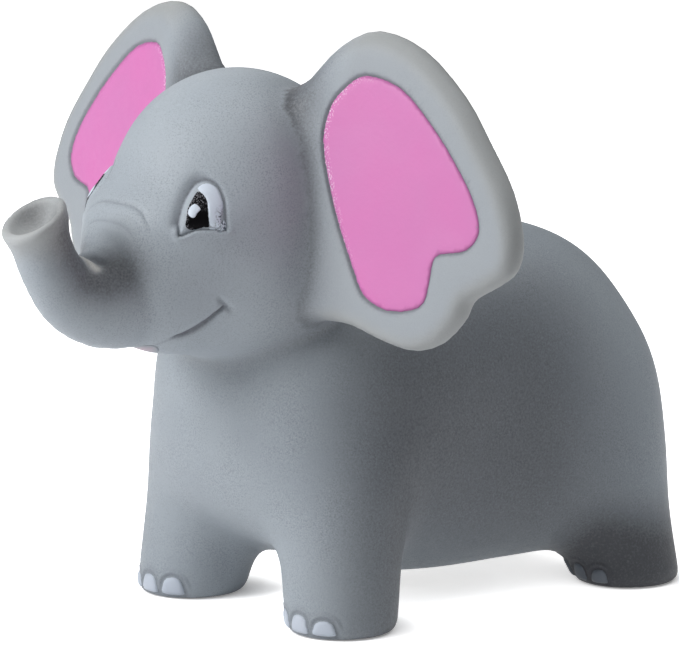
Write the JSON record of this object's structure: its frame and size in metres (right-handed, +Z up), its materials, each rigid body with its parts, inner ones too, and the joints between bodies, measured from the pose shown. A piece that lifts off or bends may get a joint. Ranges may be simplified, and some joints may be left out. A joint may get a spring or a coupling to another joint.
{
  "type": "squeeze toy animal",
  "caption": "Soft hollow vinyl elephant toy with a curled trunk, wide ears, painted eyes and toenails, and a squeaker in its belly.",
  "frame": {"origin": "centre of the whole toy's footprint box, on the plane of the soles", "axes": "-Y is the way the elephant looks, +X is its left side, +Z is up"},
  "size_m": [0.1086, 0.1176, 0.0894],
  "materials": {
    "grey_vinyl": "satin",
    "pink_paint": "satin",
    "white_paint": "satin",
    "black_paint": "gloss",
    "squeaker_plastic": "satin",
    "reed_film": "gloss"
  },
  "bodies": {
    "toy": {"left_ear_pink": "pink_paint", "left_eye_white": "white_paint", "left_eye_pupil": "black_paint", "left_eye_glint": "white_paint", "left_front_inner_nail": "white_paint", "left_front_middle_nail": "white_paint", "left_front_outer_nail": "white_paint", "left_rear_inner_nail": "white_paint", "left_rear_middle_nail": "white_paint", "left_rear_outer_nail": "white_paint", "right_ear_pink": "pink_paint", "right_eye_white": "white_paint", "right_eye_pupil": "black_paint", "right_eye_glint": "white_paint", "right_front_inner_nail": "white_paint", "right_front_middle_nail": "white_paint", "right_front_outer_nail": "white_paint", "right_rear_inner_nail": "white_paint", "right_rear_middle_nail": "white_paint", "right_rear_outer_nail": "white_paint", "lip_pink": "pink_paint", "squeaker_cup": "squeaker_plastic", "squeaker_cap": "squeaker_plastic", "reed_tube": "squeaker_plastic", "reed_clamp": "squeaker_plastic", "vinyl_skin": "grey_vinyl"},
    "reed": {"reed_tongue": "reed_film"}
  },
  "joints": [
    {"name": "reed_flex", "type": "hinge", "parent": "toy", "child": "reed", "pos_m": [0, 0.02041, 0.0073], "axis": [-1, 0, 0], "range_deg": [-3, 5], "stiffness_Nm_per_rad": 0.001}
  ]
}
